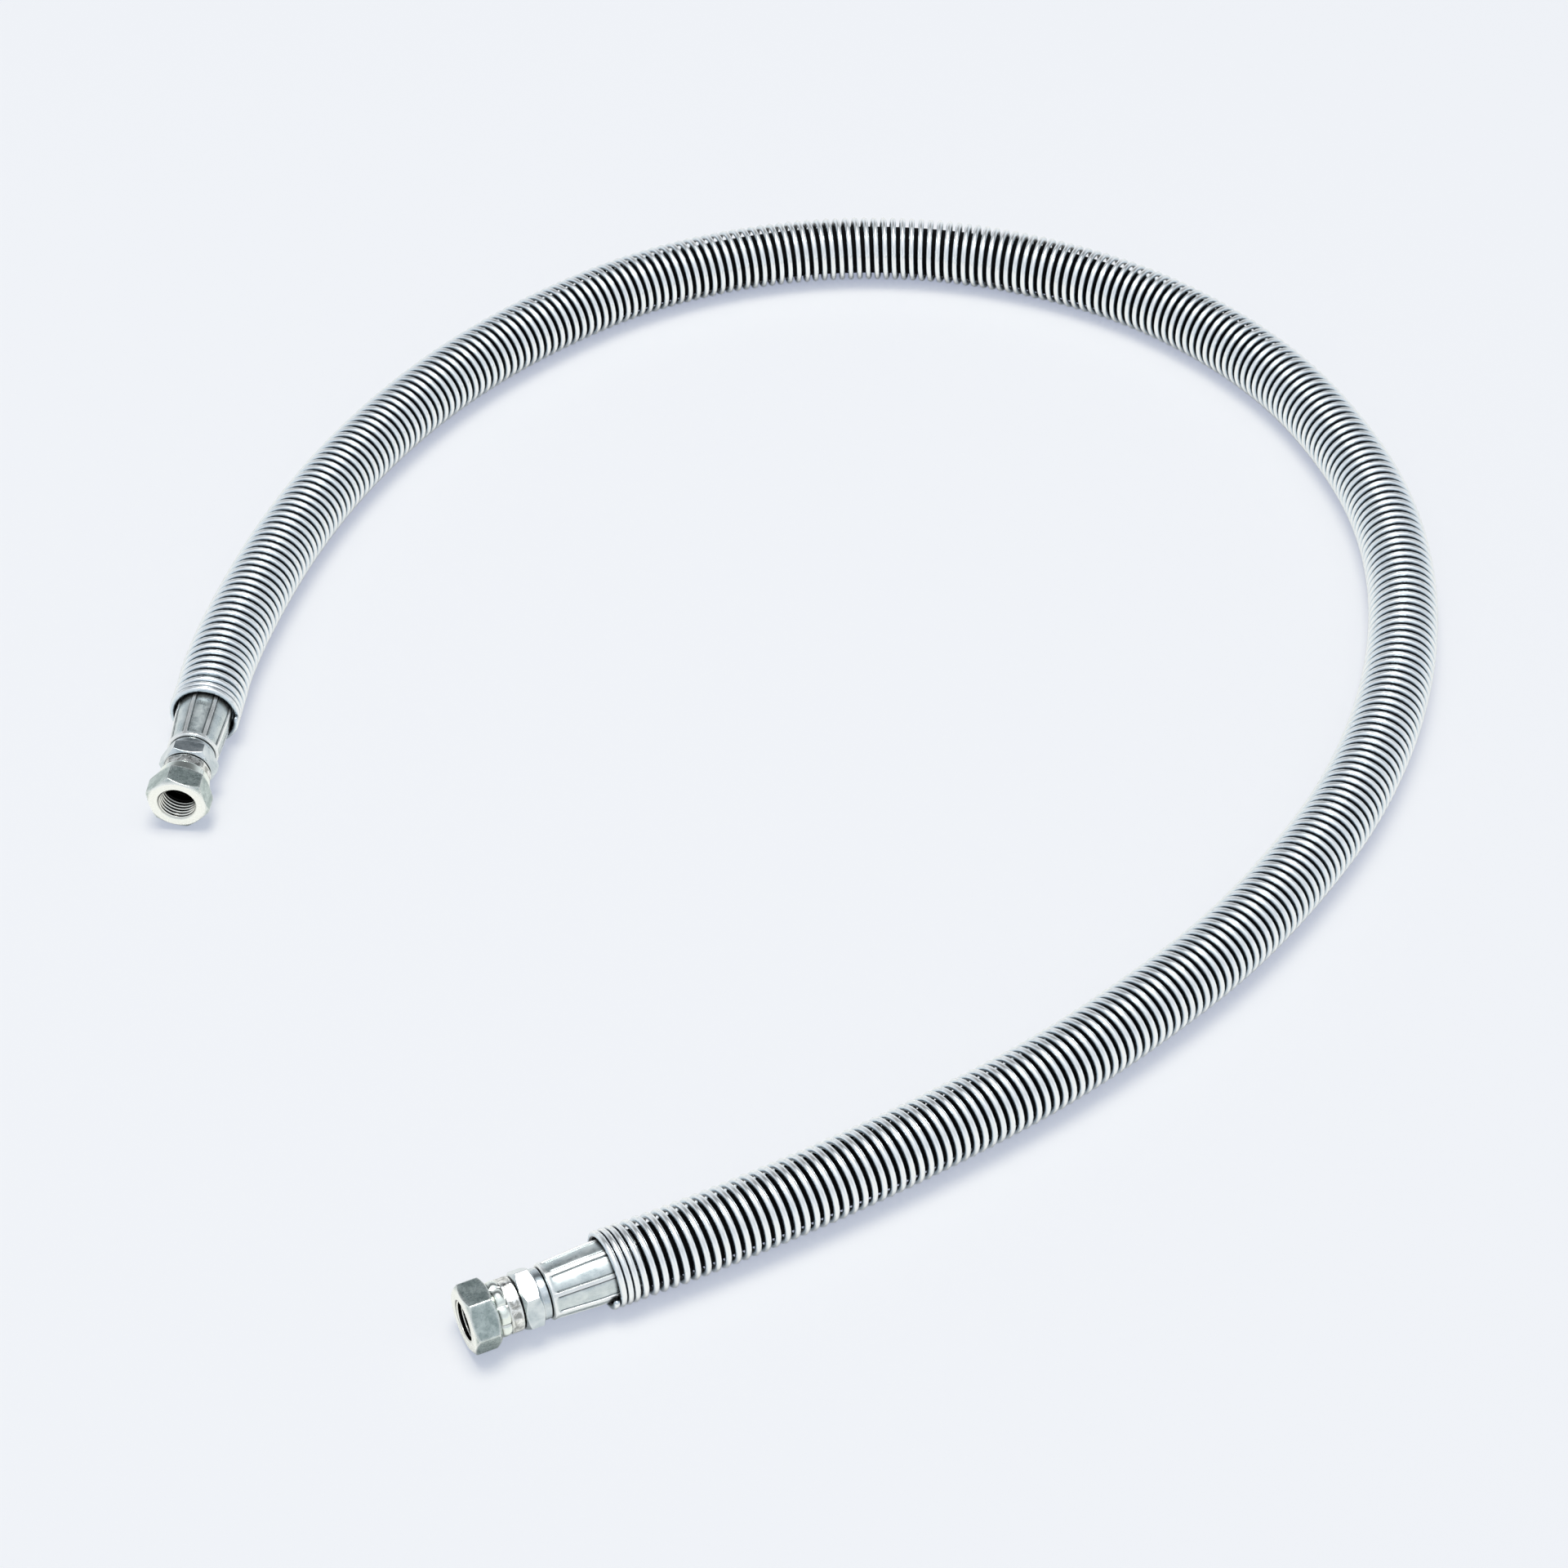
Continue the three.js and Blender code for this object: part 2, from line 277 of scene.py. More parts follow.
# %% Work out the turns of the wire
GUARD_DIAMETER = 24
WIRE_DIAMETER = 2.1
CLOSED_PITCH = 2.16
CLOSED_AT_A = 2.2
CLOSED_AT_B = 3.4
OPENING_RUN = 2.5
OPEN_PITCHES = [  # share of the guard's length from end a, and the pitch there
    (0.0, 3.45), (0.13, 3.53), (0.25, 3.57), (0.40, 3.61), (0.52, 3.65), (0.60, 3.64),
    (0.68, 3.57), (0.76, 3.43), (0.84, 3.35), (0.90, 3.28), (1.0, 3.26),
]
TURNS = 325
WIRE_END_AT_A = 2
WIRE_END_AT_B = -3
FINE_STEPS = 20001

guard_line = line_of_tube(0, GUARD_DIAMETER / 2, GUARD_DIAMETER / 2)
guard_length = run_along(guard_line)[-1]
fine_run = np.linspace(WIRE_DIAMETER / 2, guard_length - WIRE_DIAMETER / 2, FINE_STEPS)


def smooth_step(x):
    x = np.clip(x, 0, 1)
    return x * x * (3 - 2 * x)


from_either_end = np.minimum(fine_run, guard_length - fine_run)
closed_turns = np.where(fine_run < guard_length / 2, CLOSED_AT_A, CLOSED_AT_B)
opened = smooth_step((from_either_end - closed_turns * CLOSED_PITCH) / OPENING_RUN)
step_run = fine_run[1] - fine_run[0]
shares, pitches = zip(*OPEN_PITCHES)
open_pitch = np.interp(fine_run / guard_length, shares, pitches)
closed_share = np.sum((1 - opened) / CLOSED_PITCH) * step_run
open_share = np.sum(opened / open_pitch) * step_run
first_angle = math.radians(180 - WIRE_END_AT_A)
wanted_turns = TURNS + (WIRE_END_AT_B - (180 - WIRE_END_AT_A)) / 360
stretched = open_share / (wanted_turns - closed_share)
turns_per_mm = (1 - opened) / CLOSED_PITCH + opened / (stretched * open_pitch)
turned_by = np.concatenate([[0], np.cumsum((turns_per_mm[1:] + turns_per_mm[:-1]) / 2 * step_run)])
print("pitch stretched by", round(stretched, 4), "and turns", round(turned_by[-1], 2))

# %% Wind the wire
STEPS_PER_TURN = 32
WIRE_SIDES = 9
wire_steps = int(round(turned_by[-1] * STEPS_PER_TURN)) + 1
wire_turns = np.linspace(0, turned_by[-1], wire_steps)
wire_runs = np.interp(wire_turns, turned_by, fine_run)
middle = points_on(guard_line, wire_runs)
line_direction = unit(points_on(guard_line, wire_runs + 1) - points_on(guard_line, wire_runs - 1))
left = unit(np.cross([0.0, 0.0, 1.0], line_direction))
wire_angle = (first_angle + 2 * math.pi * wire_turns)[:, None]
spoke = np.cos(wire_angle) * left + np.sin(wire_angle) * np.array([0.0, 0.0, 1.0])
wire_centres = middle + (GUARD_DIAMETER - WIRE_DIAMETER) / 2 * spoke
spring_guard = round_bar(
    "spring_guard_wire", wire_centres, spoke, WIRE_DIAMETER / 2, WIRE_SIDES, end_chamfer=0.15
)
print("wire", round(run_along(wire_centres)[-1] / 1000, 2), "m long")

# %% [markdown]
# ## Turned pieces
#
# Ferrule, nipple and nut all start as a turned blank, and then flats, dents and a thread are
# worked into it. The model is made the same way. An outline of radius and station is closed
# on itself, its corners are rounded, and it is revolved. A function then says how far each
# point is pressed or cut in at its angle. One grid of faces holds the whole piece, so it is
# closed and smooth, with no leftover edges as booleans leave them. The steps of the grid are
# short where something is worked in and where it shows, and long elsewhere. Besides its place,
# each vertex keeps how deep it lies below the blank, so that a finish can tell a ridge from a
# dent.

# %% Round the corners of an outline and cut it into short steps
CORNER_STEPS = 6
MOST_OF_A_SIDE = 0.45
SHARP_BELOW = 0.01


def softened(outline):
    """The outline with its corners rounded. Each corner is (radius, station, rounding) in mm."""
    corners = np.array([corner[:2] for corner in outline], float)
    result = []
    for i, (_, _, rounding) in enumerate(outline):
        here = corners[i]
        back = corners[i - 1] - here
        onward = corners[(i + 1) % len(corners)] - here
        turn = math.acos(np.clip(np.dot(unit(back), unit(onward)), -1, 1))
        reach = rounding / math.tan(turn / 2) if rounding else 0
        reach = min(reach, *(MOST_OF_A_SIDE * np.linalg.norm(side) for side in (back, onward)))
        if reach < SHARP_BELOW:
            result.append(here)
            continue
        start = here + reach * unit(back)
        finish = here + reach * unit(onward)
        for u in np.linspace(0, 1, CORNER_STEPS):
            result.append((1 - u)**2 * start + 2 * u * (1 - u) * here + u**2 * finish)
    return np.array(result)


def stepped(outline, gap):
    """The closed outline with no step longer than gap(radius, station)."""
    result = []
    for here, after in zip(outline, np.roll(outline, -1, axis=0)):
        half_way = (here + after) / 2
        count = max(1, math.ceil(np.linalg.norm(after - here) / gap(*half_way)))
        for i in range(count):
            result.append(here + (after - here) * i / count)
    return np.array(result)


# %% Revolve an outline and work it
def worked_piece(name, end, outline, angles, work):
    """Revolves a closed outline round an end's axis. work(radius, station, angle) gives the worked
    radius, and the mesh keeps how deep each vertex lies below the blank, in mm."""
    radius, station, angle = np.broadcast_arrays(outline[:, :1], outline[:, 1:], angles)
    radii = work(radius, station, angle)
    places = np.stack([radii * np.cos(angle), radii * np.sin(angle), station], axis=2)
    axes = np.array([end.side, UP, end.out])
    points = np.array(end.mouth) + places @ axes * MM
    rows = np.arange(len(outline))[:, None] * len(angles)
    next_rows = np.roll(rows, -1, axis=0)
    columns = np.arange(len(angles))
    next_columns = np.roll(columns, -1)
    corners = [rows + columns, rows + next_columns, next_rows + next_columns, next_rows + columns]
    faces = np.stack(corners, axis=2).reshape(-1, 4).tolist()
    return mesh_piece(name, points.reshape(-1, 3), faces, places.reshape(-1, 3), depths=radius - radii)


def angles_for_sides(sides, roll, steps):
    """Angles that crowd together at the corners of a shape with flat sides."""
    half = math.pi / sides
    u = -1 + 2 * np.arange(steps) / steps
    within = half * np.sin(math.pi / 2 * u)
    first_flat = math.radians(roll) + half
    return np.concatenate([first_flat + 2 * half * i + within for i in range(sides)])


def angles_for_ridges(count, roll, half_ridge):
    """Angles that crowd together along both sides of each ridge. roll and half_ridge are in degrees."""
    pitch = 360 / count
    ridge_side = np.linspace(half_ridge - 1.6, half_ridge + 2.4, 13)
    over_panel = np.linspace(0, pitch, 16)[3:-3]
    off_ridge = np.sort(np.concatenate([-ridge_side, [0.0], ridge_side, over_panel]))
    return np.radians(np.concatenate([roll + pitch * i + off_ridge for i in range(count)]))


def soft_min(a, b, blend):
    """The smaller of two radii, with the edge between them rounded."""
    share = np.clip(0.5 + 0.5 * (b - a) / blend, 0, 1)
    return b * (1 - share) + a * share - blend * share * (1 - share)


def flats(angles, sides, across_flats, roll, corner_rounding):
    """Radius of a shape with flat sides and rounded corners, one of them at the roll angle."""
    half = math.pi / sides
    apothem = across_flats / 2
    off_corner = np.abs((angles - math.radians(roll) + half) % (2 * half) - half)
    centre = (apothem - corner_rounding) / math.cos(half)
    arc_ends = math.atan2(corner_rounding * math.sin(half), centre + corner_rounding * math.cos(half))
    on_arc = np.minimum(off_corner, arc_ends)
    arc = centre * np.cos(on_arc) + np.sqrt(corner_rounding**2 - (centre * np.sin(on_arc))**2)
    return np.where(off_corner < arc_ends, arc, apothem / np.cos(half - off_corner))


# %% [markdown]
# ## The swivel nuts
#
# A nut has a 19 mm hexagon, chamfered at both ends, a short neck, and a collar that was pressed
# in from eight sides to hold the nipple's head. The presses leave flats on the collar and
# pillows of metal on the neck, high ones at end b and hardly any at end a. Inside runs a G 1/4
# thread. The eye looks straight into the bore, where bump would look flat, so its ridges are
# real: a wave of the right height and pitch that climbs as the angle grows is a right-handed
# thread.

# %% Work the nuts
NUT_BACK = 26.6
NUT_COLLAR_FRONT = 30.0
NUT_HEX_BACK = 34.0
NUT_FRONT = 42.8
NUT_FLATS = 19
NUT_COLLAR_RADIUS = 8.3
NUT_COLLAR_FLATS = 15.8
NUT_NECK_RADIUS = 8.7
NUT_WALL = 7.2
LIP_HOLE = 5.2
LIP_FRONT = 27.8
CHAMBER_RADIUS = 6.6
CHAMBER_FRONT = 32.6
THREAD_ROOT = 6.58
THREAD_CREST = 5.725
THREAD_PITCH = 1.337
THREAD_BACK = 33.8
THREAD_FRONT = NUT_FRONT - 0.1
CHAMFER_SLOPE = math.tan(math.radians(33))
PRESSES = 8
STEPS_PER_FLAT = 40


def chamfered_blank(across_flats, back, front, rounding):
    """Outer outline of a hexagon's blank: a drum whose ends are turned to a cone."""
    face = 0.95 * across_flats / 2
    wide = across_flats / math.sqrt(3) + 0.5
    depth = (wide - face) * CHAMFER_SLOPE
    cone_back = [(face, back, rounding), (wide, back + depth, 0)]
    cone_front = [(wide, front - depth, 0), (face, front, rounding)]
    return cone_back + cone_front


def swivel_nut(end, pillow_height):
    outline = softened([
        (LIP_HOLE, NUT_BACK, 0.2), (NUT_COLLAR_RADIUS, NUT_BACK, 0.5),
        (NUT_COLLAR_RADIUS, NUT_COLLAR_FRONT, 0.3), (NUT_NECK_RADIUS, NUT_COLLAR_FRONT + 0.8, 0.5),
        (NUT_NECK_RADIUS, NUT_HEX_BACK, 0.3), *chamfered_blank(NUT_FLATS, NUT_HEX_BACK, NUT_FRONT, 0.3),
        (THREAD_ROOT + 0.12, NUT_FRONT, 0.1), (THREAD_ROOT, NUT_FRONT - 0.12, 0),
        (THREAD_ROOT, CHAMBER_FRONT, 0), (CHAMBER_RADIUS, CHAMBER_FRONT, 0),
        (CHAMBER_RADIUS, LIP_FRONT, 0.2), (LIP_HOLE, LIP_FRONT, 0.2),
    ])

    def gap(radius, station):
        if station > NUT_HEX_BACK - 0.3:
            return 0.11
        return 0.15 if radius > 7.0 else 0.5

    def work(radius, station, angle):
        outside = radius > NUT_WALL
        on_hexagon = outside & (station > NUT_HEX_BACK - 0.01)
        on_collar = outside & (station < NUT_COLLAR_FRONT + 0.3)
        on_neck = outside & ~on_hexagon & ~on_collar
        hexagon = flats(angle, 6, NUT_FLATS, end.nut_roll, corner_rounding=0.8)
        pressed = flats(angle, PRESSES, NUT_COLLAR_FLATS, end.nut_roll, corner_rounding=0.6)
        radius = np.where(on_hexagon, soft_min(radius, hexagon, 0.3), radius)
        radius = np.where(on_collar, soft_min(radius, pressed, 0.15), radius)
        along_neck = np.clip((station - NUT_COLLAR_FRONT) / (NUT_HEX_BACK - NUT_COLLAR_FRONT), 0, 1)
        lobes = np.abs(np.sin(PRESSES / 2 * (angle - math.radians(end.nut_roll))))
        dome = np.sqrt(lobes * np.sin(math.pi * along_neck))
        radius = np.where(on_neck, radius - pillow_height * (1 - dome), radius)
        in_thread = (radius < THREAD_ROOT + 0.01) & (station > CHAMBER_FRONT) & (station < THREAD_FRONT)
        run_in = smooth_step((station - THREAD_BACK) / 0.6) * smooth_step((THREAD_FRONT - station) / 0.3)
        wave = 0.5 + 0.5 * np.cos(2 * math.pi * (station / THREAD_PITCH) - angle)
        return np.where(in_thread, radius - (THREAD_ROOT - THREAD_CREST) * wave * run_in, radius)

    name = f"swivel_nut_{end.letter}_detailed"
    angles = angles_for_sides(6, end.nut_roll, STEPS_PER_FLAT)
    return worked_piece(name, end, stepped(outline, gap), angles, work)


nut_a = swivel_nut(end_a, pillow_height=0.08)
nut_b = swivel_nut(end_b, pillow_height=1.3)

# %% [markdown]
# ## The nipples
#
# A nipple is one turned bar: a stem inside the hose, a groove for the ferrule's lip, a round
# collar, the fixed hexagon that a second spanner holds, a neck on which the nut turns, a head,
# and a nose with a cone that seals. Only collar and hexagon show from outside, and the nose
# shows down the nut's bore.

# %% Work the nipples
STEM_BACK = -11.2
STEM_RADIUS = 2.9
BORE_RADIUS = 2.0
GROOVE_RADIUS = 5.5
COLLAR_BACK = 17.8
COLLAR_RADIUS = 7.8
FIXED_HEX_BACK = 20.2
FIXED_HEX_FRONT = 26.1
FIXED_HEX_FLATS = 17
NECK_RADIUS = 4.9
HEAD_BACK = 28.1
HEAD_FRONT = 32.3
HEAD_RADIUS = 6.3
NOSE_RADIUS = 5.4
CONE_RADIUS = 4.3
CONE_DEPTH = 4.0


def nipple(end):
    outline = softened([
        (BORE_RADIUS, STEM_BACK, 0.2), (STEM_RADIUS, STEM_BACK, 0.2), (STEM_RADIUS, HOSE_STATION, 0),
        (GROOVE_RADIUS, HOSE_STATION, 0), (GROOVE_RADIUS, COLLAR_BACK, 0),
        (COLLAR_RADIUS, COLLAR_BACK, 0.45), (COLLAR_RADIUS, FIXED_HEX_BACK, 0.1),
        *chamfered_blank(FIXED_HEX_FLATS, FIXED_HEX_BACK, FIXED_HEX_FRONT, 0.2),
        (NECK_RADIUS, FIXED_HEX_FRONT, 0.1), (NECK_RADIUS, HEAD_BACK, 0),
        (HEAD_RADIUS, HEAD_BACK, 0.2), (HEAD_RADIUS, HEAD_FRONT, 0.3), (NOSE_RADIUS, HEAD_FRONT, 0),
        (NOSE_RADIUS, NOSE_STATION, 0.2), (CONE_RADIUS, NOSE_STATION, 0.1),
        (BORE_RADIUS, NOSE_STATION - CONE_DEPTH, 0),
    ])

    def gap(radius, station):
        by_hexagon = FIXED_HEX_BACK - 0.2 < station < FIXED_HEX_FRONT + 0.2
        return 0.11 if by_hexagon and radius > 7.5 else 0.5

    def work(radius, station, angle):
        in_hexagon = (station > FIXED_HEX_BACK - 0.01) & (station < FIXED_HEX_FRONT + 0.01)
        hexagon = flats(angle, 6, FIXED_HEX_FLATS, end.hex_roll, corner_rounding=0.35)
        return np.where(in_hexagon & (radius > COLLAR_RADIUS + 0.1), soft_min(radius, hexagon, 0.2), radius)

    name = f"nipple_{end.letter}_detailed"
    angles = angles_for_sides(6, end.hex_roll, STEPS_PER_FLAT)
    return worked_piece(name, end, stepped(outline, gap), angles, work)


nipple_a = nipple(end_a)
nipple_b = nipple(end_b)

# %% [markdown]
# ## The ferrules
#
# A ferrule is a steel sleeve that eight dies have squeezed onto the hose. Each die leaves a
# smooth panel with rounded corners, and its edge bites a fine crease round the panel. Metal
# rises between the panels as a narrow ridge. The sleeve flares towards the guard. A band at
# the front stays round and is turned in over the nipple's groove.

# %% Work the ferrules
FERRULE_BACK = -11.5
FERRULE_FRONT = 17.5
FERRULE_FRONT_RADIUS = 8.65
FERRULE_BACK_RADIUS = 9.55
FLARE_END = FERRULE_FRONT - 14.5
FERRULE_SKIN = 7.9
FERRULE_HOLE = 7.2
FERRULE_LIP = 5.8
LIP_BACK = 15.5
PANEL_FRONT = 16.2
PANEL_DEPTH = 0.4
DIES = 8
RIDGE_WIDTH = 1.3
PANEL_CORNER = 0.7
PANEL_EDGE = 0.2
CREASE_DEPTH = 0.12
CREASE_INSET = 0.24
CREASE_WIDTH = 0.16


def ferrule(end):
    outline = softened([
        (FERRULE_HOLE, FERRULE_BACK, 0.2), (FERRULE_BACK_RADIUS, FERRULE_BACK, 0.4),
        (FERRULE_BACK_RADIUS, FLARE_END, 1.5), (FERRULE_FRONT_RADIUS, FERRULE_FRONT - 0.35, 0.3),
        (FERRULE_SKIN + 0.1, FERRULE_FRONT, 0.25), (FERRULE_LIP, FERRULE_FRONT, 0.2),
        (FERRULE_LIP, LIP_BACK, 0), (FERRULE_HOLE, LIP_BACK, 0),
    ])

    def gap(radius, station):
        return 0.12 if station > PANEL_FRONT - 1.2 and radius > 7.5 else 0.8

    def work(radius, station, angle):
        pitch = 2 * math.pi / DIES
        off_ridge = (angle - math.radians(end.crimp_roll) + pitch / 2) % pitch - pitch / 2
        from_panel_middle = (pitch / 2 - np.abs(off_ridge)) * radius
        half_panel = (pitch / 2) * radius - RIDGE_WIDTH / 2
        across = from_panel_middle - (half_panel - PANEL_CORNER)
        ahead = station - (PANEL_FRONT - PANEL_CORNER)
        outside_corner = np.hypot(np.maximum(across, 0), np.maximum(ahead, 0)) - PANEL_CORNER
        pressed = smooth_step(0.5 - outside_corner / PANEL_EDGE)
        crease = np.exp(-((outside_corner + CREASE_INSET) / CREASE_WIDTH)**2)
        crimped = radius - PANEL_DEPTH * pressed - CREASE_DEPTH * crease
        return np.where(radius > FERRULE_SKIN, crimped, radius)

    name = f"ferrule_{end.letter}_detailed"
    half_ridge = math.degrees(RIDGE_WIDTH / 2 / FERRULE_FRONT_RADIUS)
    angles = angles_for_ridges(DIES, end.crimp_roll, half_ridge)
    return worked_piece(name, end, stepped(outline, gap), angles, work)


ferrule_a = ferrule(end_a)
ferrule_b = ferrule(end_b)

# %% [markdown]
# ## What moves with what
#
# Each detailed piece takes the place of its plain solid and rides on the body that carries it.
# Only the nuts turn: everything else is clamped to the hose.

# %% Ride, replace and name the finish
RIDES = [
    (rubber_hose, "hose_body", "rubber_hose", "rubber"),
    (spring_guard, "hose_body", "spring_guard", "guard_wire"),
    (ferrule_a, "hose_body", "ferrule_a", "ferrule_plating"),
    (ferrule_b, "hose_body", "ferrule_b", "ferrule_plating"),
    (nipple_a, "hose_body", "nipple_a", "nipple_plating"),
    (nipple_b, "hose_body", "nipple_b", "nipple_plating"),
    (nut_a, "swivel_a", "swivel_nut_a", "nut_plating"),
    (nut_b, "swivel_b", "swivel_nut_b", "nut_plating"),
]
for piece, body, node, finish in RIDES:
    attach(piece, body)
    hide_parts(node)

# %% [markdown]
# ## Effects that the finishes share
#
# All the metal here is zinc plated, and plating clouds and shows the lines that the tool left.
# Besides, edges get a painted highlight and corners painted shade. Each of these effects is a
# node group with its own inputs, so that one change mends it in every material.

# %% Helpers for node groups
def new_group(name, inputs, outputs):
    """A shader group. inputs is {name: default}, where a default of three numbers is a vector."""
    group = bpy.data.node_groups.new(name, "ShaderNodeTree")
    for socket_name, default in inputs.items():
        kind = "NodeSocketVector" if isinstance(default, tuple) else "NodeSocketFloat"
        socket = group.interface.new_socket(socket_name, in_out="INPUT", socket_type=kind)
        socket.default_value = default
    for socket_name in outputs:
        group.interface.new_socket(socket_name, in_out="OUTPUT", socket_type="NodeSocketFloat")
    return group, group.nodes.new("NodeGroupInput"), group.nodes.new("NodeGroupOutput")


def add(tree, kind, **settings):
    node = tree.nodes.new(kind)
    for name, value in settings.items():
        setattr(node, name, value)
    return node


def join(tree, value, target):
    """Feeds an input from an output, or sets it to a number, a vector or a colour."""
    if isinstance(value, bpy.types.NodeSocket):
        tree.links.new(value, target)
    elif target.type == "RGBA":
        target.default_value = (*value, 1)
    else:
        target.default_value = value


def math_node(tree, operation, *values):
    """A math node whose inputs are sockets or numbers."""
    node = add(tree, "ShaderNodeMath", operation=operation)
    for value, socket in zip(values, node.inputs):
        join(tree, value, socket)
    return node.outputs[0]


# %% Clouds in the plating
clouds, source, sink = new_group(
    "plating clouds", {"Place": (0, 0, 0), "Size": 2.0, "Contrast": 1.0}, ["Cloud"]
)
noise = add(clouds, "ShaderNodeTexNoise", noise_dimensions="3D")
noise.inputs["Detail"].default_value = 5
noise.inputs["Roughness"].default_value = 0.62
noise.inputs["Distortion"].default_value = 0.4
join(clouds, source.outputs["Place"], noise.inputs["Vector"])
join(clouds, math_node(clouds, "DIVIDE", 1.0, source.outputs["Size"]), noise.inputs["Scale"])
centred = math_node(clouds, "SUBTRACT", noise.outputs["Fac"], 0.5)
scaled = math_node(clouds, "MULTIPLY", centred, source.outputs["Contrast"])
cloud = add(clouds, "ShaderNodeClamp")
join(clouds, math_node(clouds, "MULTIPLY_ADD", scaled, 3.0, 0.5), cloud.inputs["Value"])
join(clouds, cloud.outputs[0], sink.inputs["Cloud"])

# %% [markdown]
# Edges get a painted highlight: their colour is made lighter. The Bevel node looks at the
# surface a short way round each point: where its rounded normal leaves the true one, an edge
# is near. This works on any mesh, however finely it is cut.

# %% Painted highlight on edges
edge_highlights, source, sink = new_group("painted edge highlight", {"Width": 0.0004, "Amount": 1.0}, ["Edge"])
# Painted highlight: this mask lightens the colour of edges in every finish that uses it.
bevel = add(edge_highlights, "ShaderNodeBevel", samples=6)
join(edge_highlights, source.outputs["Width"], bevel.inputs["Radius"])
geometry = add(edge_highlights, "ShaderNodeNewGeometry")
same_way = add(edge_highlights, "ShaderNodeVectorMath", operation="DOT_PRODUCT")
join(edge_highlights, bevel.outputs["Normal"], same_way.inputs[0])
join(edge_highlights, geometry.outputs["Normal"], same_way.inputs[1])
turned_away = math_node(edge_highlights, "SUBTRACT", 1.0, same_way.outputs["Value"])
mask = math_node(edge_highlights, "MULTIPLY", turned_away, 12.0)
edge_highlight_mask = add(edge_highlights, "ShaderNodeClamp")
join(edge_highlights, math_node(edge_highlights, "MULTIPLY", mask, source.outputs["Amount"]), edge_highlight_mask.inputs["Value"])
join(edge_highlights, edge_highlight_mask.outputs[0], sink.inputs["Edge"])

# %% [markdown]
# Corners, creases and grooves get painted shade: their colour is made darker where little light
# reaches. Ambient occlusion measures just that: how much of the sky is hidden within a short reach.

# %% Painted shade in corners
painted_shade, source, sink = new_group("painted corner shade", {"Reach": 0.002, "Amount": 1.0}, ["Grime"])
# Painted shade: this mask darkens corners, creases and grooves in every finish that uses it.
occlusion = add(painted_shade, "ShaderNodeAmbientOcclusion", samples=6)
join(painted_shade, source.outputs["Reach"], occlusion.inputs["Distance"])
hidden = math_node(painted_shade, "SUBTRACT", 1.0, occlusion.outputs["AO"])
deep = math_node(painted_shade, "POWER", hidden, 1.6)
painted_shade_mask = add(painted_shade, "ShaderNodeClamp")
join(painted_shade, math_node(painted_shade, "MULTIPLY", deep, source.outputs["Amount"]), painted_shade_mask.inputs["Value"])
join(painted_shade, painted_shade_mask.outputs[0], sink.inputs["Grime"])

# %% [markdown]
# Tool lines run round a turned piece, and drawn lines run along a wire. Both are noise that is
# squeezed across the lines and stretched along them.

# %% Tool lines
lines, source, sink = new_group(
    "tool lines", {"Place": (0, 0, 0), "Stretch": (1, 1, 1), "Fineness": 4.0}, ["Line"]
)
stretch = add(lines, "ShaderNodeVectorMath", operation="MULTIPLY")
join(lines, source.outputs["Place"], stretch.inputs[0])
join(lines, source.outputs["Stretch"], stretch.inputs[1])
line_noise = add(lines, "ShaderNodeTexNoise", noise_dimensions="3D")
line_noise.inputs["Detail"].default_value = 3
line_noise.inputs["Roughness"].default_value = 0.7
join(lines, stretch.outputs[0], line_noise.inputs["Vector"])
join(lines, source.outputs["Fineness"], line_noise.inputs["Scale"])
join(lines, line_noise.outputs["Fac"], sink.inputs["Line"])
print("groups", sorted(group.name for group in bpy.data.node_groups))

# %% [markdown]
# ## Putting a material together
#
# Each material starts from Blender's Principled shader and from the place that the mesh keeps.
# A group, a blend of two colours and a change of range are needed again and again, so each is
# one call. A colour or number that is the same all over is set on its socket.

# %% Helpers for materials
def new_material(name):
    material = bpy.data.materials.new(name)
    material.use_nodes = True
    tree = material.node_tree
    shader = tree.nodes["Principled BSDF"]
    place = add(tree, "ShaderNodeAttribute", attribute_name="place")
    return material, tree, shader, place.outputs["Vector"]


def use_group(tree, group, **inputs):
    """Places a group. An input is a number, a vector or a socket."""
    node = add(tree, "ShaderNodeGroup", node_tree=group)
    for name, value in inputs.items():
        join(tree, value, node.inputs[name])
    return node.outputs[0]


def mixed(tree, factor, first, second):
    """A colour between two. The factor is a socket or a number, and each colour a socket or a colour."""
    node = add(tree, "ShaderNodeMix", data_type="RGBA")
    for socket, value in zip((node.inputs[0], node.inputs[6], node.inputs[7]), (factor, first, second)):
        join(tree, value, socket)
    return node.outputs[2]


def ranged(tree, value, low, high, low_in=0.0, high_in=1.0):
    """A value between low_in and high_in spread from low to high."""
    node = add(tree, "ShaderNodeMapRange")
    join(tree, value, node.inputs["Value"])
    node.inputs["From Min"].default_value = low_in
    node.inputs["From Max"].default_value = high_in
    node.inputs["To Min"].default_value = low
    node.inputs["To Max"].default_value = high
    return node.outputs[0]


def bumped(tree, shader, height, distance, strength=1.0):
    node = add(tree, "ShaderNodeBump")
    node.inputs["Strength"].default_value = strength
    node.inputs["Distance"].default_value = distance
    join(tree, height, node.inputs["Height"])
    join(tree, node.outputs["Normal"], shader.inputs["Normal"])


# %% [markdown]
# ## The finishes
#
# The wire is drawn steel with bright zinc on it: pale and a little blue, with fine lines along
# its length. Its crest is nearly white. Its flanks are painted a duller blue as painted shade, the
# grooves between turns are painted dark as painted shade, and the side that lies on the rubber is
# painted as dark as the rubber, also as painted shade. The first number of a place on the wire
# tells them apart, because it points out of the coil.

# %% Bright zinc on the wire
DRAWN_TONES = ((0.90, 0.94, 0.96), (0.99, 1.0, 0.99))
